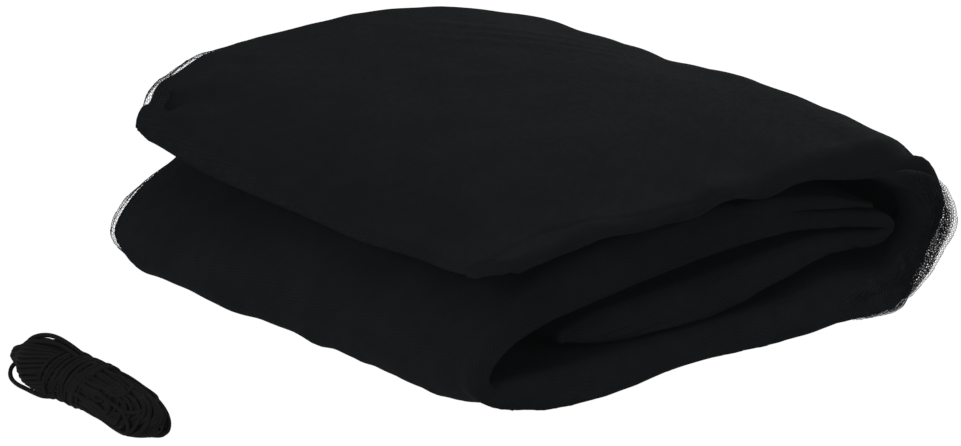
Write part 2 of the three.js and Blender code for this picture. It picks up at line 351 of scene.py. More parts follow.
def walk_strip(rows, creases=()):
    """Columns along the strip: place, direction, half thickness and ends, closer set in the folds."""
    value = {name: column(rows, STRIP_COLUMNS, name) for name in STRIP_COLUMNS[1:]}
    place = smooth_line(np.stack([value["across"], value["up"], value["thick"]], 1), SPAN_STEPS)
    ends = smooth_line(np.stack([value["front"], value["back"], value["nose"]], 1), SPAN_STEPS)
    gaps = np.hypot(np.diff(place[:, 0]), np.diff(place[:, 1]))
    along = np.concatenate([[0], np.cumsum(gaps)])
    heading = np.unwrap(np.arctan2(np.gradient(place[:, 1], along), np.gradient(place[:, 0], along)))
    bend = np.abs(np.gradient(heading, along))
    density = np.maximum(1 / FLAT_STEP, bend / BEND_STEP)
    walked = np.concatenate([[0], np.cumsum(gaps * (density[1:] + density[:-1]) / 2)])
    even = np.linspace(0, walked[-1], int(round(walked[-1])) + 1)
    out, across = oval(np.radians(TIP_ANGLES_DEG))
    walk = {
        "fine_along": along,
        "fine_heading": heading,
        "fine_place": np.hstack([place, ends]),
        "rows_along": along[::SPAN_STEPS],
        "rows_fold": [row[0] for row in rows],
        "length": along[-1],
        "at": np.interp(even, walked, along),
        "tip_reach": TIP_REACH * across,
        "tip_taper": out,
    }
    # Where a strip has no flap, the start of one is put out of its reach
    has_flap = "top flap" in walk["rows_fold"]
    walk["flap_start"] = fold_at(walk, "top flap", 0) if has_flap else 2 * along[-1]
    walk["creases"] = [
        (fold_at(walk, fold, share), y, fold_at(walk, fold, to_share), to_y, wide, high)
        for fold, share, y, to_share, to_y, wide, high in creases
    ]
    return walk


def strip_at(walk, along, taper=1.0):
    """The strip's columns at places along it, past its ends too."""
    along = np.asarray(along, float)
    inside = np.clip(along, 0, walk["length"])
    turned = np.interp(inside, walk["fine_along"], walk["fine_heading"])
    names = ("across", "up", "thick", "front", "back", "nose")
    strip = {"walk": walk}
    for name, values in zip(names, walk["fine_place"].T):
        strip[name] = np.interp(inside, walk["fine_along"], values)[:, None]
    strip["along"] = along[:, None]
    strip["taper"] = np.broadcast_to(taper, along.shape)[:, None]
    strip["dir_x"] = np.cos(turned)[:, None]
    strip["dir_z"] = np.sin(turned)[:, None]
    strip["across"] = strip["across"] + (along - inside)[:, None] * strip["dir_x"]
    strip["up"] = strip["up"] + (along - inside)[:, None] * strip["dir_z"]
    strip["half"] = strip["thick"] / 2
    strip["front"] = strip["front"] - TIP_ROUND * (1 - strip["taper"]) ** 2
    strip["on_flap"] = ramp(strip["along"] - walk["flap_start"], FLAP_BEGINS)
    return strip


def whole_strip(walk):
    """All the strip's columns, with its two tapered tips."""
    along = np.concatenate([-walk["tip_reach"][::-1], walk["at"], walk["length"] + walk["tip_reach"]])
    taper = np.concatenate([walk["tip_taper"][::-1], np.ones(len(walk["at"])), walk["tip_taper"]])
    return strip_at(walk, along, taper)


def fold_at(walk, fold, share):
    """Length along the strip at a share of the way through a fold's rows."""
    rows = [k for k, name in enumerate(walk["rows_fold"]) if name == fold]
    first = walk["rows_along"][rows[0]]
    last = walk["rows_along"][min(rows[-1] + 1, len(walk["rows_fold"]) - 1)]
    return first + share * (last - first)


def lift_at(x, y):
    """How far the bundle's top is lifted at places across and along it."""
    across = np.clip(x / HALF_WIDTH, -1, 1)
    cord_side, middle, far_side = (column(LIFT, LIFT_COLUMNS, name) for name in LIFT_COLUMNS[1:])
    side = np.where(across[..., None] < 0, cord_side, far_side)
    fall = np.abs(across) ** np.where(across < 0, *LIFT_POWERS)
    lifts = middle + (side - middle) * fall[..., None]
    step = (len(LIFT) - 1) * np.clip(y / (2 * HALF_LENGTH) + 0.5, 0, 1)
    k = np.minimum(len(LIFT) - 2, np.floor(step)).astype(int)
    share = ramp(step - k, (0, 1))
    low = np.take_along_axis(lifts, k[..., None], -1)[..., 0]
    high = np.take_along_axis(lifts, k[..., None] + 1, -1)[..., 0]
    return low + (high - low) * share


def settle(x, y, z):
    """The crown, slump, bulge and swell of the whole bundle. The floor stays flat."""
    corner = ramp(-x, CORNER_ACROSS) * ramp(y, CORNER_ALONG)
    lifted = z * (1 + lift_at(x, y) / TOP_LEVEL)
    slumped = lifted * (1 - SLUMP_SHARE * corner * (1 - ramp(z, FLAP_BELOW)))
    swelled = slumped + FLAP_SWELL * corner * ramp(z, FLAP_ABOVE)
    bulge = BULGE * corner * hump(z, BULGE_LEVEL, BULGE_LEVEL)
    settled = np.maximum(0, swelled)
    tuck = TUCK * ramp(-y, TUCK_ALONG) * ramp(-x, TUCK_ACROSS) * (1 - ramp(settled, TUCK_UP))
    return np.stack([x - bulge + tuck, y, settled], -1)


def strip_ends(strip):
    """Where the strip's front and back ends lie along y."""
    return -HALF_LENGTH - strip["front"], HALF_LENGTH + strip["back"]


def edge_plump(strip, offset, y):
    """The offset, thinner or plumper near the flap's free edge, with a sag under the far corner."""
    inward = strip["walk"]["length"] - strip["along"]
    near = strip["on_flap"] * (1 - ramp(inward, (0, EDGE_BAND)))
    plump = 1 + near * (EDGE_THIN + (EDGE_PLUMP - EDGE_THIN) * ramp(y, EDGE_ALONG) - 1)
    sag = EDGE_SAG * strip["on_flap"] * hump(inward, *EDGE_SAG_PLACE) * ramp(y, EDGE_FAR)
    inner = np.clip(offset / strip["half"], 0, 1)
    return offset * np.where(offset > 0, plump, np.minimum(1, plump)) + sag * inner


def edge_lift(strip, y):
    """How far the free edge is pulled out and held up at its far corner."""
    near = 1 - ramp(strip["walk"]["length"] - strip["along"], (0, EDGE_LIFT_BAND))
    pull = strip["on_flap"] * near * ramp(y, EDGE_FAR)
    return EDGE_SKEW * pull, EDGE_LIFT * pull


def edge_droop(strip, y):
    """How far the settled free edge hangs down."""
    near = 1 - ramp(strip["walk"]["length"] - strip["along"], (0, DROOP_BAND))
    return strip["on_flap"] * near * eased(y, DROOP)


def front_roll(strip, offset, depth):
    """The offset after the flap's top has rolled down towards its front."""
    lost = strip["on_flap"] * eased(strip["across"], FRONT_ROLL) * (1 - ramp(depth, (0, FRONT_ROLL_FADE)))
    return offset + lost * (strip["half"] * strip["taper"] - offset)


def on_strip(strip, offset, y):
    """Places on the settled strip, from the offset across its thickness and the place along its folds."""
    front, back = strip_ends(strip)
    depth = np.clip(np.minimum(y - front, back - y) / strip["nose"], 0, 1)
    swell = np.sqrt(1 - (1 - depth) ** 2)
    level = strip["up"] - NOSE_DROOP * strip["half"] * (1 - swell) + flap_wave(strip, y - front)
    skew, lift = edge_lift(strip, y)
    stepped = offset - np.where(offset < 0, strip["taper"] * ledge(strip, y - front), 0)
    outer = np.clip(0.5 - offset / (2 * strip["half"]), 0, 1)
    pushed = edge_plump(strip, front_roll(strip, stepped, y - front), y) - outer * rise(strip, y)
    x = strip["across"] - skew - strip["dir_z"] * pushed
    settled = settle(x, y, level + lift + strip["dir_x"] * pushed)
    settled[..., 2] -= edge_droop(strip, y)
    return settled


# Soft waves, creases and the flap's edge

WAVE_SEED = 11
WAVE_DRAWS = np.random.default_rng(WAVE_SEED)
FLAP_CALM = 0.35


def wave_set(count, shortest, longest, high):
    """Rows of wave numbers along the strip and along the folds, a start and a height."""
    long = WAVE_DRAWS.uniform(shortest, longest, count)
    turned = WAVE_DRAWS.uniform(0, math.pi, count)
    start = WAVE_DRAWS.uniform(0, TURN, count)
    return np.stack([np.cos(turned) / long, np.sin(turned) / long, start, np.full(count, high)], 1)


BROAD_WAVES = wave_set(count=7, shortest=90, longest=190, high=0.26)
SMALL_WAVES = wave_set(count=12, shortest=24, longest=60, high=0.11)


def rise(strip, y):
    """How far the strip's outer side is pushed out by waves and creases."""
    along = strip["along"]
    total = np.zeros(np.broadcast(along, y).shape)
    for by_along, by_y, start, high in np.vstack([BROAD_WAVES, SMALL_WAVES]):
        total += high * np.sin(TURN * (along * by_along + y * by_y) + start)
    total *= 1 - (1 - FLAP_CALM) * strip["on_flap"]
    for start, y_start, stop, y_stop, wide, high in strip["walk"]["creases"]:
        run = np.array([stop - start, y_stop - y_start])
        share = np.clip(((along - start) * run[0] + (y - y_start) * run[1]) / (run @ run), 0, 1)
        away = np.hypot(along - start - share * run[0], y - y_start - share * run[1])
        total += high * hump(away, 0, wide)
    return total


def flap_wave(strip, depth):
    """The rise and dip of the flap's front edge, by the distance in from the front."""
    high = eased(strip["across"], FLAP_WAVE)
    return strip["on_flap"] * high * (1 - ramp(depth, (0, FLAP_WAVE_FADE)))


def ledge(strip, depth):
    """The step where the flap's upper plies begin, with a narrow groove at its foot."""
    across = strip["across"]
    strength = strip["on_flap"] * (1 - ramp(across, LEDGE_ENDS_ACROSS))
    past = depth - eased(across, LEDGE) - waves(across, LEDGE_JITTER)
    sharp = LEDGE_SHARP / 2
    step = LEDGE_STEP * ramp(past, (-sharp, sharp)) * (1 - ramp(depth, LEDGE_FADE))
    groove = LEDGE_GROOVE * hump(past, -sharp, LEDGE_GROOVE_WIDE)
    return strength * (step - groove)


# The net's skin: its outermost ply, wrapped round the stack of folded plies

OUTER_STEPS = 98
INNER_STEPS = 30
NOSE_STEPS = 37
END_CROWDING = 0.8

# How strongly the ends of each fold are darkened with painted shade
PAINTED_END_SHADE_BY_FOLD = {"first layer": 0.7, "left fold": 0.5, "bottom layer": 0.3, "top flap": 0.6, "free edge": 0}

# Streaks of plies at those ends: spacing, height, the length over which they drift, and waves in the drift
PLY_RIDGES = [(3.4, 0.10, 170), (4.7, 0.14, 120), (6.1, 0.17, 230), (8.8, 0.20, 150), (12.5, 0.22, 310)]
PLY_DRIFT = [(1.3, 1, 1), (0.7, 1 / 0.43, 2)]


def end_shares(steps):
    """Shares from one end to the other, closer set at both ends."""
    even = np.linspace(0, 1, steps)
    eased_run = 0.5 - 0.5 * np.cos(math.pi * even)
    return END_CROWDING * eased_run + (1 - END_CROWDING) * even


def skin_loop(strip):
    """The skin's closed loop at each place along the strip: offsets, places along y and nose shares."""
    half = strip["half"] * strip["taper"]
    nose = strip["nose"]
    front, back = strip_ends(strip)
    angle = np.linspace(math.pi / 2, -math.pi / 2, NOSE_STEPS + 2)[1:-1]
    out, across = oval(angle)
    inner = end_shares(INNER_STEPS)
    outer = end_shares(OUTER_STEPS)
    run = (front + nose) - (back - nose)
    offset = [half + 0 * inner, half * across, -half + 0 * outer, -half * across]
    y = [
        back - nose + run * inner, front + nose * (1 - out),
        front + nose - run * outer, back - nose * (1 - out),
    ]
    turned = [0 * inner, np.cos(angle), 0 * outer, np.cos(angle)]
    return np.hstack(offset), np.hstack(y), np.concatenate(turned)


def ply_ridges(along, around):
    """Faint lengthwise streaks where the many plies turn at the bundle's ends."""
    total = np.zeros(around.shape)
    for k, (spacing, high, drift) in enumerate(PLY_RIDGES):
        wander = waves(TURN * along / drift, PLY_DRIFT, k)
        total += high * np.sin(TURN * around / spacing + wander)
    return total


def skin_piece(name, walk, material):
    """The outermost ply of a strip, as one closed skin."""
    strip = whole_strip(walk)
    offset, y, turned = skin_loop(strip)
    rows, count = offset.shape
    step = np.hypot(np.diff(offset, axis=1, append=offset[:, :1]), np.diff(y, axis=1, append=y[:, :1]))
    around = np.hstack([np.zeros((rows, 1)), np.cumsum(step, 1)])
    run_offset = np.roll(offset, -1, 1) - np.roll(offset, 1, 1)
    run_y = np.roll(y, -1, 1) - np.roll(y, 1, 1)
    run = np.maximum(np.hypot(run_offset, run_y), TINY)
    ridge = ply_ridges(strip["along"], around[:, :-1]) * turned * strip["taper"]
    points = on_strip(strip, offset - ridge * run_y / run, y + ridge * run_offset / run)
    uv = loop_corners(strip["along"][:, 0], around) * MM
    # Painted shade: the skin's ends and tips are marked to be darkened
    shade = np.array([PAINTED_END_SHADE_BY_FOLD.get(fold, 1) for fold in walk["rows_fold"]], float)
    ends = np.interp(strip["along"], walk["rows_along"], shade)
    ends = ends * np.maximum(np.sqrt(turned), 1 - strip["taper"])
    return mesh_piece(name, points.reshape(-1, 3), loop_faces(rows, count).tolist(), material, uv, ends)


# Sheer plies that stand loose at the edges, knotted from single threads

# The net's hexagons, with a few sides to spare before it is cut, and its threads
MESH_SIDE = 1.1
SPARE_SIDES = 4
THREAD_RADIUS = 0.19
THREAD_SIDES = 3
THREAD_GUIDE = (0.31, 0.17, 0.93)

# How far a loose ply's margins dive under the skin, and how full it stands along each end
LOOSE_SINK = 0.8
LOOSE_FULLNESS = {"front": 0.55, "back": 0.45}

# Pleats that cross: height, how often they come, shift, slant round the edge
PLEAT_LENGTH = 45
PLEATS = [(1, 1, 0, 0.05), (0.6, 1.7, 1.1, 0), (0.4, 2.9, 0, 0.09)]

# The edges where loose plies stand: the end of the bundle, and the folds where a ply begins and stops
LOOSE_EDGES = {
    "left": ("back", "second layer", "left fold"),
    "right": ("front", "bottom layer", "right fold"),
    "flap": ("back", "top flap", "free edge"),
    "crown": ("back", "top flap", "top flap"),
}

# Each loose ply: name, edge, shares of the folds where it begins and stops, reach round the end to the inner
# and to the outer side, how far it stands off and swells aside, how sharply it turns, how far it leans out,
# depth of its pleats, turn of its mesh
LOOSE_PLIES = [
    ("sheer_left", "left", 0.86, 0.5, -6, 32, 8.0, 0.5, 2, 6, 0.06, 8),
    ("sheer_right_1", "right", 0.92, 0.9, 40, 0, 2, 0.4, 2, 11, 0.05, 5),
    ("sheer_right_2", "right", 0.94, 0.72, 38, 0, 2.6, 0.4, 2, 10, 0.09, 33),
    ("sheer_right_3", "right", 0.92, 0.9, 40, -1, 4, 0.5, 2, 12, 0.05, 22),
    ("sheer_right_4", "right", 0.93, 0.65, 38, 0, 4, 0.5, 2, 12, 0.09, 51),
    ("sheer_right_5", "right", 0.93, 0.6, 38, 0, 4.6, 0.6, 2, 13, 0.07, 27),
    ("sheer_right_6", "right", 0.92, 0.91, 42, -2, 5.4, 0.6, 2, 13, 0.05, 14),
    ("sheer_right_7", "right", 0.92, 0.93, 44, -1, 6.4, 0.7, 2, 13, 0.03, 40),
    ("sheer_right_8", "right", 0.92, 0.95, 48, -1, 10, 0.9, 2, 13, 0.02, 9),
    ("sheer_right_low_1", "right", 0.76, 0.1, 26, 26, 2.5, 0.4, 1, 0, 0.1, 41),
    ("sheer_right_low_2", "right", 0.8, 0.15, 26, 26, 5, 0.4, 1, 0, 0.1, 12),
    ("sheer_flap_back", "flap", 0.72, 1, -4, 24, 7.0, 0.5, 2, 8.5, 0.16, 11),
    ("sheer_crown", "crown", 0.4, 0.52, 14, 14, 3.0, 1.0, 1, 0, 0.2, 17),
]


def honeycomb(length, inner, outer, turn_deg):
    """Knots and threads of a hexagon net over a strip from 0 to length and from -inner to outer."""
    rise_step = 1.5 * MESH_SIDE
    across_step = math.sqrt(3) * MESH_SIDE
    reach = math.hypot(length, 2 * max(inner, outer)) / 2 + SPARE_SIDES * MESH_SIDE
    rows = np.arange(-math.ceil(reach / rise_step), math.ceil(reach / rise_step) + 1)
    places = np.arange(-math.ceil(reach / across_step), math.ceil(reach / across_step) + 1)
    j, i = np.meshgrid(rows, places, indexing="ij")
    shift = np.mod(j, 2) / 2
    # Knots in pairs, one a side above the other, in rows that shift by half a step
    low = np.stack([(i + shift) * across_step, j * rise_step], -1)
    high = low + (0, MESH_SIDE)
    index = np.arange(low[..., 0].size).reshape(j.shape)
    count = index.size
    odd = np.mod(j[:-1], 2) == 1
    above = index[1:]
    right = np.where(odd, np.roll(above, -1, 1), above)
    left = np.where(odd, above, np.roll(above, 1, 1))
    # A thread joins each pair, and two run from its upper knot to lower knots of the next row
    edges = [np.stack([index.ravel(), index.ravel() + count], 1)]
    edges.append(np.stack([index[:-1, 1:-1].ravel() + count, right[:, 1:-1].ravel()], 1))
    edges.append(np.stack([index[:-1, 1:-1].ravel() + count, left[:, 1:-1].ravel()], 1))
    knots = np.vstack([low.reshape(-1, 2), high.reshape(-1, 2)])
    turn = math.radians(turn_deg)
    knots = knots @ np.array([[math.cos(turn), math.sin(turn)], [-math.sin(turn), math.cos(turn)]])
    knots = knots + (length / 2, 0)
    inside = (knots[:, 0] > 0) & (knots[:, 0] < length) & (knots[:, 1] > -inner) & (knots[:, 1] < outer)
    edges = np.vstack(edges)
    edges = edges[inside[edges].all(1)]
    used, places = np.unique(edges, return_inverse=True)
    return knots[used], places.reshape(-1, 2)


def loose_places(walk, end, along, around, stand, side, sharp, lean):
    """Places on a loose ply: length along an end of the strip, run round that end, and stand-off."""
    strip = strip_at(walk, along)
    half = strip["half"][:, 0] + side
    reach = strip["nose"][:, 0] + stand
    quarter = math.pi / 2 * np.sqrt((reach ** 2 + half ** 2) / 2)
    angle = np.clip(around / quarter, -1, 1) * math.pi / 2
    beyond = np.maximum(np.abs(around) - quarter, 0)
    offset = -half * np.sign(angle) * np.abs(np.sin(angle)) ** sharp - lean * np.cos(angle)
    inward = reach * (1 - np.cos(angle)) - stand + beyond
    front, back = strip_ends(strip)
    y = front[:, 0] + inward if end == "front" else back[:, 0] - inward
    return on_strip(strip, offset[:, None], y[:, None])[:, 0]


def loose_ply_piece(
    walk, material, name, edge, start, stop, inner, outer, stand, side, sharp, lean, pleat, turn_deg
):
    """One sheer ply along an edge. It stands off in the middle and dives under the skin at its margins."""
    end, first_fold, last_fold = LOOSE_EDGES[edge]
    begin = fold_at(walk, first_fold, start)
    length = fold_at(walk, last_fold, stop) - begin
    knots, threads = honeycomb(length, inner, outer, turn_deg)
    along = begin + knots[:, 0]
    around = knots[:, 1]
    bell = np.sin(math.pi * (knots[:, 0] / length)) ** LOOSE_FULLNESS[end]
    bell = bell * np.cos(math.pi / 2 * around / max(inner, outer))
    wander = TURN * along / PLEAT_LENGTH + turn_deg
    folds = sum(
        high * np.sin(often * wander + shift + slant * around) for high, often, shift, slant in PLEATS
    )
    off = (stand * (1 + pleat * folds) + LOOSE_SINK) * bell - LOOSE_SINK
    aside = (side * (1 + pleat * folds) + LOOSE_SINK) * bell - LOOSE_SINK
    places = loose_places(walk, end, along, around, off, aside, sharp, lean * bell)
    return thread_piece(name, places, threads, material)


def thread_piece(name, places, threads, material):
    """Closed three-sided threads between knots."""
    first = places[threads[:, 0]]
    last = places[threads[:, 1]]
    ahead = unit(last - first)
    side = unit(np.cross(ahead, THREAD_GUIDE))
    other = np.cross(ahead, side)
    angle = np.arange(THREAD_SIDES) * TURN / THREAD_SIDES
    ring = THREAD_RADIUS * (np.cos(angle)[:, None, None] * side + np.sin(angle)[:, None, None] * other)
    points = np.concatenate([first + ring, last + ring]).transpose(1, 0, 2).reshape(-1, 3)
    points[:, 2] = np.maximum(0, points[:, 2])
    base = np.arange(len(threads))[:, None] * 2 * THREAD_SIDES
    near = [base + k for k in range(THREAD_SIDES)]
    far = [corner + THREAD_SIDES for corner in near]
    pairs = [(k, (k + 1) % THREAD_SIDES) for k in range(THREAD_SIDES)]
    sides = [np.hstack([near[here], near[after], far[after], far[here]]) for here, after in pairs]
    caps = [np.hstack(near[::-1]), np.hstack(far)]
    faces = np.vstack(sides).tolist() + np.vstack(caps).tolist()
    return mesh_piece(name, points, faces, material)


# Wound cord

CORD_SIDES = 8
CORD_STEP = 1.6
CORD_GUIDE = (0.3, 0.2, 1.0)
FEWEST_RINGS = 4
END_SHUT = 0.001


def tube(route):
    """A round cord along a route of places: points, faces and corner coordinates."""
    gaps = np.linalg.norm(np.diff(route, axis=0), axis=1)
    along = np.concatenate([[0], np.cumsum(gaps)])
    even = np.linspace(0, along[-1], max(FEWEST_RINGS, int(along[-1] / CORD_STEP)))
    line = np.stack([np.interp(even, along, route[:, k]) for k in range(3)], 1)
    ahead = unit(np.gradient(line, axis=0))
    side = np.cross(ahead[0], CORD_GUIDE)
    angle = np.arange(CORD_SIDES) * TURN / CORD_SIDES
    rings = []
    for place, forward in zip(line, ahead):
        side = unit(side - forward * (side @ forward))
        ring = np.outer(np.cos(angle), side) + np.outer(np.sin(angle), np.cross(forward, side))
        rings.append(place + CORD_RADIUS * ring)
    shut_first = line[0] + END_SHUT * (rings[0] - line[0])
    shut_last = line[-1] + END_SHUT * (rings[-1] - line[-1])
    rings = [shut_first] + rings + [shut_last]
    along = np.concatenate([even[:1], even, even[-1:]])
    around = np.broadcast_to(np.linspace(0, 1, CORD_SIDES + 1), (len(rings), CORD_SIDES + 1))
    return np.vstack(rings), loop_faces(len(rings), CORD_SIDES), loop_corners(along * MM, around)


HANK_SPAN_STEPS = 20
HANK_LINE = smooth_line(HANK, HANK_SPAN_STEPS)


def hank_section(along):
    """The hank's width, height, shift aside and middle at places along it."""
    return [np.interp(along, HANK_LINE[:, 0], values) for values in HANK_LINE[:, 1:].T]


def on_hank(along, angle, lift):
    """Cord places on the hank's surface, lifted off it by a little."""
    along = np.asarray(along, float)
    wide, tall, aside, up = hank_section(along)
    x = aside + (wide / 2 - CORD_RADIUS + lift) * np.cos(angle)
    z = up + (tall / 2 - CORD_RADIUS + lift) * np.sin(angle)
    return np.stack([x, along + 0 * x, np.maximum(CORD_RADIUS, z)], -1)


# The bindings: turns, pitch, start, slant, lean of the slant, lift
BINDINGS = [
    (9.5, 3.9, -9, -6.5, -0.2, 0.9),
    (4.5, 5.3, 2, -3.0, 0.9, 1.6),
    (3.5, 2.2, -7, -8.5, 0.1, 1.7),
]
BINDING_STEPS = 65

# Waves in the bindings' line and lift
BINDING_STRAY = [(0.9, 0.23, 1), (0.5, 0.61, 0)]
BINDING_LIFT = [(0.35, 0.37, 0), (0.4, 1, 0)]


def binding_route(turns, pitch, start, slant, lean, lift):
    """Turns wound round the middle of the hank, on a slant and not quite even."""
    angle = np.linspace(0, TURN * turns, int(BINDING_STEPS * turns))
    stray = waves(angle, BINDING_STRAY, start)
    along = start + pitch * angle / TURN + slant * np.sin(angle + lean) + stray
    return on_hank(along, angle, lift + waves(angle, BINDING_LIFT))


# The rounded end: long turns nested round an eye that faces the side
LOBE_MIDDLE = (-1.4, -38, 14)
LOBE_REACH = (17.8, 39.8, 15.4)
LOBE_BLUNT = 2.15
LOBE_EYE = (-0.87, -0.06, 0.49)
LOBE_SEED = 5
LOBE_STEPS = 80
LOBE_SWELL = 0.5

# Coils over the whole lobe: turns, angles from the eye where they begin and end, wobble, lift, start
LOBE_COILS = [(15, 18, 168, 6, -1.3, 0), (11, 30, 150, 9, -2.8, 3)]


def lobe_coil_route(turns, first_deg, last_deg, wobble_deg, lift, start):
    """Turns round the lobe from near the eye to the far side, each a little askew."""
    draw = np.random.default_rng(LOBE_SEED + start)
    angle = np.linspace(0, TURN * turns, int(LOBE_STEPS * turns))
    spread = np.radians(np.interp(angle, (0, angle[-1]), (first_deg, last_deg)))
    stops = np.linspace(0, angle[-1], int(turns) + 2)
    leans = [draw.normal(0, math.radians(wobble_deg), len(stops)) for _ in range(3)]
    swells = draw.uniform(-LOBE_SWELL, LOBE_SWELL, len(stops))
    lean = np.stack([eased(angle, np.stack([stops, drawn], 1)) for drawn in leans], 1)
    swell = eased(angle, np.stack([stops, swells], 1))
    eye = unit(np.array(LOBE_EYE) + lean)
    first = unit(np.cross(eye, (0, 1, 0)))
    second = np.cross(eye, first)
    around = first * np.cos(angle + start)[:, None] + second * np.sin(angle + start)[:, None]
    way = eye * np.cos(spread)[:, None] + around * np.sin(spread)[:, None]
    way /= (np.abs(way) ** LOBE_BLUNT).sum(1, keepdims=True) ** (1 / LOBE_BLUNT)
    route = np.array(LOBE_MIDDLE) + way * (np.array(LOBE_REACH) - CORD_RADIUS + lift + swell[:, None])
    route[:, 2] = np.maximum(CORD_RADIUS, route[:, 2])
    return route


# Single long turns on the lobe: angle round the hank, spread of the two legs, reach, lift
LOBE_TURNS = [
    (152, 9, -27, 0.3),
    (150, 18, -35, 0.2),
    (154, 27, -42, 0.4),
    (149, 37, -49, 0.1),
    (153, 47, -55, 0.3),
    (150, 57, -61, 0.1),
    (150, 66, -68, 0.2),
    (144, 77, -72.5, 0.1),
    (112, 24, -50, 1.5),
    (182, 30, -63, 1.2),
    (100, 50, -68, 1.1),
    (163, 14, -45, 1.6),
    (-32, 14, -38, 0.3),
    (-28, 28, -48, 0.2),
    (-33, 42, -57, 0.3),
    (-29, 56, -64, 0.2),
    (-31, 70, -70, 0.1),
    (-62, 34, -71, 0.1),
    (-75, 52, -67, 0.1),
]
LOBE_LEAVE = -2
LOBE_TURN_STEPS = 24

# The depth of a turn's bend, and waves in its line and lift
LOBE_BEND_LEAST = 3
LOBE_BEND_BY_SPREAD = 11
LOBE_BEND_MOST = 18
LOBE_SWAY_BY_PLACE = [(0.03, 0.12, 5)]
LOBE_SWAY_BY_SPREAD = [(0.02, 0.29, 3)]
LOBE_LIFT_BY_SPREAD = [(0.25, 0.17, 7)]


def lobe_turn_route(middle_deg, spread_deg, reach, lift):
    """One long turn that comes out of the binding, bends round near the rounded end and goes back in."""
    middle = math.radians(middle_deg)
    spread = math.radians(spread_deg)
    depth = min(LOBE_BEND_MOST, LOBE_BEND_BY_SPREAD * spread + LOBE_BEND_LEAST)
    bend = np.linspace(0, math.pi, LOBE_TURN_STEPS)
    leg = np.linspace(LOBE_LEAVE, reach + depth, LOBE_TURN_STEPS)[:-1]
    along = np.concatenate([leg, reach + depth - depth * np.sin(bend), leg[::-1]])
    angle = np.concatenate([0 * leg - spread, -spread * np.cos(bend), 0 * leg + spread])
    sway = waves(along, LOBE_SWAY_BY_PLACE, middle) + waves(along, LOBE_SWAY_BY_SPREAD, spread)
    return on_hank(along, middle + angle + sway, lift + waves(along, LOBE_LIFT_BY_SPREAD, spread))


# Strands of the loop end: angles round the hank where they leave and return, reach, lift
STRANDS = [
    (20, 200, 70, -1.5),
    (35, 215, 69, -1.2),
    (50, 230, 71, -1.4),
    (62, 150, 72, 0.2),
    (74, 165, 71, 0.0),
    (86, 178, 73, 0.1),
    (98, 190, 70, 0.0),
    (110, 202, 72, 0.2),
    (122, 214, 69, 0.1),
    (134, 226, 71, 0.0),
    (146, 238, 68, 0.1),
    (40, 330, 70, 0.1),
    (28, 318, 68, 0.0),
    (15, 305, 71, 0.2),
    (3, 290, 69, 0.1),
    (52, 342, 71, 0.0),
]

# Where along the hank a strand lies, bends and turns, and how it twists on the way
STRAND_PLACES = (8, 22, 36, 48, 58)
STRAND_BEND = 64
STRAND_BEND_SHARE = 0.15
STRAND_TURN = 69
STRAND_BEYOND = 1.5
STRAND_TWIST = 0.021
STRAND_TWIST_FROM = 20

# Steps from one place to the next on a strand or an open loop
LOOP_STEPS = 8


def strand_route(leave_deg, return_deg, reach, lift):
    """One strand that leaves the binding on a slant, turns at the loop end and comes back."""
    leave = math.radians(leave_deg)
    back = math.radians(return_deg)
    middle = (leave + back) / 2
    twist = {place: STRAND_TWIST * (place - STRAND_TWIST_FROM) for place in (*STRAND_PLACES, STRAND_BEND)}
    out = [on_hank(place, leave + twist[place], lift) for place in STRAND_PLACES]
    home = [on_hank(place, back + twist[place], lift) for place in STRAND_PLACES[::-1]]
    near, far = (
        on_hank(STRAND_BEND, side + twist[STRAND_BEND] + STRAND_BEND_SHARE * (middle - side), lift)
        for side in (leave, back)
    )
    turn = on_hank(STRAND_TURN, middle + twist[STRAND_BEND], lift)
    turn[1] = reach + STRAND_BEYOND
    return smooth_line(np.array(out + [near, turn, far] + home), LOOP_STEPS)


# The middle of the hank, with blunt shut ends
FILLER_INSET = 1.1
FILLER_SIDES = 32
FILLER_RINGS = 40
FILLER_REACH = (-75, 60)
FILLER_SPARE = 0.2
FILLER_BLUNT = 6
FILLER_LEVEL = 0.5


def filler_loops():
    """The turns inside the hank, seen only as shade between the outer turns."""
    along = np.linspace(*FILLER_REACH, FILLER_RINGS)[:, None]
    angle = np.arange(FILLER_SIDES) * TURN / FILLER_SIDES
    wide, tall, aside, up = hank_section(along)
    middle = sum(FILLER_REACH) / 2
    span = (FILLER_REACH[1] - FILLER_REACH[0]) / 2
    out = np.abs((along - middle) / (span + FILLER_SPARE))
    closing = np.sqrt(np.clip(1 - out ** FILLER_BLUNT, END_SHUT ** 2, 1))
    x = aside + (wide / 2 - FILLER_INSET) * closing * np.cos(angle)
    z = up + (tall / 2 - FILLER_INSET) * closing * np.sin(angle)
    return np.stack([x, along + 0 * x, np.maximum(FILLER_LEVEL, z)], -1)


def cord_piece(name, material):
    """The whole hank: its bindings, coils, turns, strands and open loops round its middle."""
    routes = [binding_route(*row) for row in BINDINGS]
    routes += [lobe_coil_route(*row) for row in LOBE_COILS]
    routes += [lobe_turn_route(*row) for row in LOBE_TURNS]
    routes += [strand_route(*row) for row in STRANDS]
    routes += [smooth_line(row, LOOP_STEPS) for row in OPEN_LOOPS.values()]
    made = [tube(np.asarray(route, float)) for route in routes]
    filler = filler_loops()
    around = np.broadcast_to(np.linspace(0, 1, FILLER_SIDES + 1), (len(filler), FILLER_SIDES + 1))
    filler_corners = loop_corners(filler[:, 0, 1] * MM, around)
    made.append((filler.reshape(-1, 3), loop_faces(len(filler), FILLER_SIDES), filler_corners))
    first = np.cumsum([0] + [len(points) for points, _, _ in made])
    points = np.vstack([points for points, _, _ in made]) + (HANK_X, HANK_Y, 0)
    faces = np.vstack([quads + start for (_, quads, _), start in zip(made, first)])
    corners = np.vstack([uv for _, _, uv in made])
    return mesh_piece(name, points, faces.tolist(), material, corners)


# Finishes, with colours as red, green, blue and alpha

WHITE = (1, 1, 1, 1)

# Places of the colour sockets on a mix node
MIX_FIRST = 6
MIX_SECOND = 7
MIX_RESULT = 2


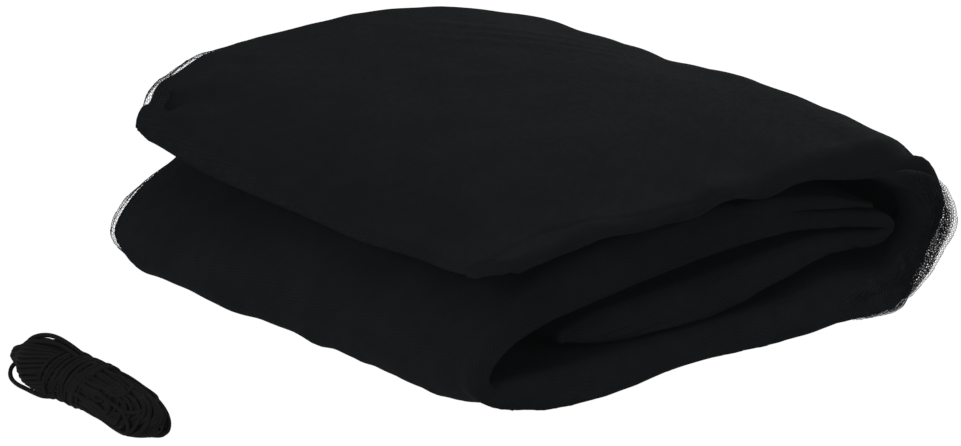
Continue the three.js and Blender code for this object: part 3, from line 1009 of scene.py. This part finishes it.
def set_inputs(tree, node, inputs):
    """Gives each named input its value, or a link from the output that feeds it."""
    for name, value in inputs.items():
        if isinstance(value, bpy.types.NodeSocket):
            tree.links.new(value, node.inputs[name])
        else:
            node.inputs[name].default_value = value


def add_node(tree, kind, inputs, **settings):
    """A node with its settings and its inputs."""
    node = tree.nodes.new(kind)
    for name, value in settings.items():
        setattr(node, name, value)
    set_inputs(tree, node, inputs)
    return node


def maths(tree, operation, first, second=0.0):
    """The result of one maths node."""
    return add_node(tree, "ShaderNodeMath", {0: first, 1: second}, operation=operation).outputs[0]


def between(tree, share, low, high):
    """A value that runs from low to high with the share."""
    return add_node(tree, "ShaderNodeMapRange", {"Value": share, "To Min": low, "To Max": high}).outputs[0]


def mixed(tree, share, first, second, blend="MIX"):
    """A colour that goes from the first to the blend of both with the share."""
    inputs = {"Factor": share, MIX_FIRST: first, MIX_SECOND: second}
    return add_node(tree, "ShaderNodeMix", inputs, data_type="RGBA", blend_type=blend).outputs[MIX_RESULT]


def bumped(tree, height, bump):
    """The normal of a surface with small heights on it."""
    return add_node(tree, "ShaderNodeBump", {"Height": height, **bump}).outputs[0]


def cloth_place(tree):
    """Metres along the cloth and round it."""
    return add_node(tree, "ShaderNodeUVMap", {}, uv_map="cloth").outputs[0]


def piece_place(tree):
    """The place on the piece in metres."""
    return add_node(tree, "ShaderNodeTexCoord", {}).outputs["Object"]


def new_group(name, numbers, masks):
    """An empty group with a Vector and number inputs and mask outputs."""
    group = bpy.data.node_groups.new(name, "ShaderNodeTree")
    group.interface.new_socket("Vector", in_out="INPUT", socket_type="NodeSocketVector")
    for number in numbers:
        group.interface.new_socket(number, in_out="INPUT", socket_type="NodeSocketFloat")
    for mask in masks:
        group.interface.new_socket(mask, in_out="OUTPUT", socket_type="NodeSocketFloat")
    return group, group.nodes.new("NodeGroupInput").outputs, group.nodes.new("NodeGroupOutput").inputs


# The turn of a hexagon's waves for each pitch, and the three ways that they run
HEXAGON_WAVES = 4 * math.pi / math.sqrt(3)
HEXAGON_TURNS = (0, math.pi / 3, 2 * math.pi / 3)
THREAD_SOFTNESS = 0.7


def hexagon_net_group():
    """Hexagon mesh on flat cloth, from three waves that cross: 1 on its threads and 0 in its holes."""
    group, given, result = new_group("hexagon_net", ("Pitch", "Turn", "Thread"), ("Threads",))
    total = 0.0
    for hexagon_turn in HEXAGON_TURNS:
        turn = maths(group, "ADD", given["Turn"], hexagon_turn)
        inputs = {"Vector": given["Vector"], "Angle": turn}
        turned = add_node(group, "ShaderNodeVectorRotate", inputs, rotation_type="Z_AXIS").outputs[0]
        across = add_node(group, "ShaderNodeSeparateXYZ", {"Vector": turned}).outputs["X"]
        angle = maths(group, "MULTIPLY", maths(group, "DIVIDE", across, given["Pitch"]), HEXAGON_WAVES)
        total = maths(group, "ADD", maths(group, "COSINE", angle), total)
    share = maths(group, "DIVIDE", maths(group, "SUBTRACT", given["Thread"], total), THREAD_SOFTNESS)
    clamped = add_node(group, "ShaderNodeClamp", {"Value": share})
    group.links.new(clamped.outputs[0], result["Threads"])
    return group


# How sharply the marks of the yarn stand out, and each mark with its detail
YARN_CONTRAST = {"From Min": 0.3, "From Max": 0.7}
YARN_MARKS = [("Patch size", "Patches", 2.0), ("Fleck size", "Flecks", 3.0)]


def uneven_black_group():
    """Broad patches and small flecks, as dyed black yarn has."""
    group, given, result = new_group("uneven_black", ("Patch size", "Fleck size"), ("Patches", "Flecks"))
    for size, mask, detail in YARN_MARKS:
        scale = maths(group, "DIVIDE", 1.0, given[size])
        inputs = {"Vector": given["Vector"], "Scale": scale, "Detail": detail}
        noise = add_node(group, "ShaderNodeTexNoise", inputs).outputs[0]
        sharper = add_node(group, "ShaderNodeMapRange", {"Value": noise, **YARN_CONTRAST})
        group.links.new(sharper.outputs[0], result[mask])
    return group


hexagon_net = hexagon_net_group()
uneven_black = uneven_black_group()


def new_finish(name, specular):
    """A material with its nodes and its shader."""
    material = bpy.data.materials.new(name)
    material.use_nodes = True
    shader = material.node_tree.nodes["Principled BSDF"]
    shader.inputs["Specular IOR Level"].default_value = specular
    return material, material.node_tree, shader


def placed_group(tree, group, place, numbers):
    """The masks of a shared group at a place, with its numbers for this finish."""
    return add_node(tree, "ShaderNodeGroup", {"Vector": place, **numbers}, node_tree=group).outputs


THREAD_SPECULAR = 0.03

# The netting's colours, then its meshes and yarn with their sizes in metres
NET_THREAD_COLOUR = (0.0086, 0.0096, 0.0105, 1)
# Painted shade in the net's holes, where the plies beneath lie in shade
NET_HOLE_PAINTED_SHADE = (0.0049, 0.0055, 0.006, 1)
NET_DARK_PATCH = (0.92, 0.92, 0.93, 1)
NET_LIGHT_PATCH = (1.05, 1.05, 1.04, 1)
# Painted shade at the marked ends of the plies
NET_PAINTED_END_SHADE = (0.7, 0.7, 0.7, 1)
# Painted light: a faint glow of the netting's own that lifts the shade in its gaps
NET_GLOW = (0.82, 0.96, 1.0, 1)
NET_GLOW_STRENGTH = 0.0022
NET_UPPER_MESH = {"Pitch": 0.0019, "Turn": 0.1, "Thread": -0.1}
NET_UNDER_MESH = {"Pitch": 0.00197, "Turn": 0.21, "Thread": -0.25}
NET_UNDER_SHOWN = (0.25, 1.0)
NET_YARN = {"Patch size": 0.035, "Fleck size": 0.004}
NET_ROUGHNESS = (0.8, 0.96)
NET_FLECK_HEIGHT = 0.8
NET_BUMP = {"Strength": 0.5, "Distance": 0.0002}


def netting_finish():
    """Many plies of fine black net: two hexagon meshes that cross, on uneven black."""
    material, tree, shader = new_finish("black_netting", THREAD_SPECULAR)
    cloth = cloth_place(tree)
    upper = placed_group(tree, hexagon_net, cloth, NET_UPPER_MESH)
    under = placed_group(tree, hexagon_net, cloth, NET_UNDER_MESH)
    yarn = placed_group(tree, uneven_black, piece_place(tree), NET_YARN)
    under_share = between(tree, yarn["Patches"], *NET_UNDER_SHOWN)
    shown_under = maths(tree, "MULTIPLY", under["Threads"], under_share)
    threads = maths(tree, "MAXIMUM", upper["Threads"], shown_under)
    # The holes are painted darker than the threads, as shade
    threads_over_painted_holes = mixed(tree, threads, NET_HOLE_PAINTED_SHADE, NET_THREAD_COLOUR)
    patches = mixed(tree, yarn["Patches"], NET_DARK_PATCH, NET_LIGHT_PATCH)
    uneven = mixed(tree, 1.0, threads_over_painted_holes, patches, "MULTIPLY")
    # Painted shade: darker where the plies' ends are marked
    ends = add_node(tree, "ShaderNodeAttribute", {}, attribute_name="painted_end_shade").outputs["Fac"]
    painted_end_shading = mixed(tree, ends, WHITE, NET_PAINTED_END_SHADE)
    height = maths(tree, "ADD", threads, maths(tree, "MULTIPLY", yarn["Flecks"], NET_FLECK_HEIGHT))
    set_inputs(tree, shader, {
        "Base Color": mixed(tree, 1.0, uneven, painted_end_shading, "MULTIPLY"),
        "Roughness": between(tree, yarn["Flecks"], *NET_ROUGHNESS),
        "Normal": bumped(tree, height, NET_BUMP),
        "Emission Color": NET_GLOW,
        "Emission Strength": NET_GLOW_STRENGTH,
    })
    return material


THREAD_DARK = (0.017, 0.0188, 0.0206, 1)
THREAD_LIGHT = (0.028, 0.031, 0.034, 1)
THREAD_YARN = {"Patch size": 0.012, "Fleck size": 0.0015}
THREAD_ROUGHNESS = (0.75, 0.95)
THREAD_BUMP = {"Strength": 0.4, "Distance": 0.00005}


def sheer_thread_finish():
    """Single black threads with light between them."""
    material, tree, shader = new_finish("sheer_threads", THREAD_SPECULAR)
    yarn = placed_group(tree, uneven_black, piece_place(tree), THREAD_YARN)
    set_inputs(tree, shader, {
        "Base Color": mixed(tree, yarn["Patches"], THREAD_DARK, THREAD_LIGHT),
        "Roughness": between(tree, yarn["Flecks"], *THREAD_ROUGHNESS),
        "Normal": bumped(tree, yarn["Flecks"], THREAD_BUMP),
    })
    return material


CORD_SPECULAR = 0.05
CORD_DARK = (0.0052, 0.0053, 0.0055, 1)
CORD_LIGHT = (0.0094, 0.0096, 0.0098, 1)
# Painted light: a faint glow of the cord's own that lifts its shade
CORD_GLOW_STRENGTH = 0.0016
CORD_YARN = {"Patch size": 0.009, "Fleck size": 0.0012}
# Painted highlight on the strands' crests and painted shade in the grooves between them
CORD_STRAND_PAINTED_LIGHT = (0.55, 1.0)
CORD_PATCH_SHADE = (0.5, 1.0)
CORD_ROUGHNESS = (0.6, 0.85)
CORD_FLECK_HEIGHT = 0.6
CORD_BUMP = {"Strength": 0.6, "Distance": 0.0002}
BRAID_LENGTH = 0.0034
BRAID_STRANDS = 4


def braided_cord_finish():
    """Braided black cord: two sets of strands that cross, with painted highlight on their crests and painted
    shade in the grooves.
    """
    material, tree, shader = new_finish("black_cord", CORD_SPECULAR)
    parts = add_node(tree, "ShaderNodeSeparateXYZ", {"Vector": cloth_place(tree)}).outputs
    along = maths(tree, "MULTIPLY", parts["X"], TURN / BRAID_LENGTH)
    around = maths(tree, "MULTIPLY", parts["Y"], TURN * BRAID_STRANDS)
    right = maths(tree, "SINE", maths(tree, "ADD", along, around))
    left = maths(tree, "SINE", maths(tree, "SUBTRACT", along, around))
    strands = between(tree, maths(tree, "MAXIMUM", right, left), 0.0, 1.0)
    yarn = placed_group(tree, uneven_black, piece_place(tree), CORD_YARN)
    # Painted highlight on the crests and painted shade in the grooves
    strand_painted_light = between(tree, strands, *CORD_STRAND_PAINTED_LIGHT)
    shade = maths(tree, "MULTIPLY", strand_painted_light, between(tree, yarn["Patches"], *CORD_PATCH_SHADE))
    height = maths(tree, "ADD", strands, maths(tree, "MULTIPLY", yarn["Flecks"], CORD_FLECK_HEIGHT))
    set_inputs(tree, shader, {
        "Base Color": mixed(tree, shade, CORD_DARK, CORD_LIGHT),
        "Roughness": between(tree, yarn["Flecks"], *CORD_ROUGHNESS),
        "Normal": bumped(tree, height, CORD_BUMP),
        "Emission Color": WHITE,
        "Emission Strength": CORD_GLOW_STRENGTH,
    })
    return material


FLOOR_SPECULAR = 0.1
FLOOR_COLOUR = (0.03, 0.03, 0.03, 1)
FLOOR_ROUGHNESS = (0.7, 0.9)
FLOOR_TOOTH_SCALE = 300.0
FLOOR_BOUNCE = 0.45


def pale_floor_finish():
    """Pale paper that is lit up to white, with a very faint tooth. It throws less light than it shows."""
    material, tree, shader = new_finish("pale_floor", FLOOR_SPECULAR)
    inputs = {"Vector": piece_place(tree), "Scale": FLOOR_TOOTH_SCALE}
    tooth = add_node(tree, "ShaderNodeTexNoise", inputs).outputs[0]
    seen = add_node(tree, "ShaderNodeLightPath", {}).outputs["Is Camera Ray"]
    set_inputs(tree, shader, {
        "Base Color": FLOOR_COLOUR,
        "Roughness": between(tree, tooth, *FLOOR_ROUGHNESS),
        "Emission Color": WHITE,
        "Emission Strength": between(tree, seen, FLOOR_BOUNCE, 1.0),
    })
    return material


net_finish = netting_finish()
thread_finish = sheer_thread_finish()
cord_finish = braided_cord_finish()
floor_finish = pale_floor_finish()

# The pieces

dented_walk = walk_strip(STRIP, CREASES + CORNER_DENTS)
# The loose plies lie on the strip without its corner dents, so that they span them
plain_walk = walk_strip(STRIP, CREASES)
net = skin_piece("net_outer_ply", dented_walk, net_finish)
tongue = skin_piece("net_tongue_ply", walk_strip(TONGUE), net_finish)
loose_plies = [loose_ply_piece(plain_walk, thread_finish, *row) for row in LOOSE_PLIES]
cord = cord_piece("wound_cord", cord_finish)
for ply in [net, tongue] + loose_plies:
    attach(ply, "root")
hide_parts("folded_net")
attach(cord, "root")
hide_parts("cord_hank")

# Floor, light and camera

FLOOR_HALF = 4000
FLOOR_LEVEL = -0.3
FLOOR_CORNERS = ((-1, -1), (1, -1), (1, 1), (-1, 1))
floor_points = [(x * FLOOR_HALF, y * FLOOR_HALF, FLOOR_LEVEL) for x, y in FLOOR_CORNERS]
floor = mesh_piece("floor", floor_points, [[0, 1, 2, 3]], floor_finish)

WORLD_STRENGTH = 0.3
world = bpy.data.worlds.new("studio")
bpy.context.scene.world = world
world.use_nodes = True
background = world.node_tree.nodes["Background"]
set_inputs(world.node_tree, background, {"Color": WHITE, "Strength": WORLD_STRENGTH})

# Soft lights: name, place and width in metres, power in watts
SOFT_BOXES = [
    ("overhead", (0.0, 0.2, 2.2), 2.2, 4),
    ("key", (1.5, 0.7, 1.2), 1.2, 14),
    ("side_fill", (-2.5, -0.2, 0.9), 1.8, 30),
    ("front_fill", (0.7, -2.4, 0.6), 1.6, 21),
]


def soft_box(name, place, size, energy):
    """A round soft light that faces the middle of the net."""
    light = bpy.data.lights.new(name, "AREA")
    light.shape = "DISK"
    light.size = size
    light.energy = energy
    lamp = bpy.data.objects.new(name, light)
    lamp.location = place
    lamp.rotation_euler = (-lamp.location).to_track_quat("-Z", "Y").to_euler()
    bpy.context.scene.collection.objects.link(lamp)


for box in SOFT_BOXES:
    soft_box(*box)

# The photograph's view, with its lens and sensor in millimetres
VIEW_AZIMUTH_DEG = -40
VIEW_ELEVATION_DEG = 20
VIEW_DISTANCE = 6000
VIEW_TARGET = (-66.221, -27.904, 61.232)
VIEW_LENS = 343.89
VIEW_SENSOR = 36
VIEW_FARTHEST_M = 100
azimuth = math.radians(VIEW_AZIMUTH_DEG)
elevation = math.radians(VIEW_ELEVATION_DEG)
level = math.cos(elevation)
to_camera = np.array([math.sin(azimuth) * level, -math.cos(azimuth) * level, math.sin(elevation)])
lens = bpy.data.cameras.new("camera")
lens.sensor_width = VIEW_SENSOR
lens.lens = VIEW_LENS
lens.clip_end = VIEW_FARTHEST_M
camera = bpy.data.objects.new("camera", lens)
camera.location = (np.array(VIEW_TARGET) + VIEW_DISTANCE * to_camera) * MM
camera.rotation_euler = (math.pi / 2 - elevation, 0, azimuth)
bpy.context.scene.collection.objects.link(camera)
bpy.context.scene.camera = camera
bpy.context.scene.view_settings.view_transform = "Standard"
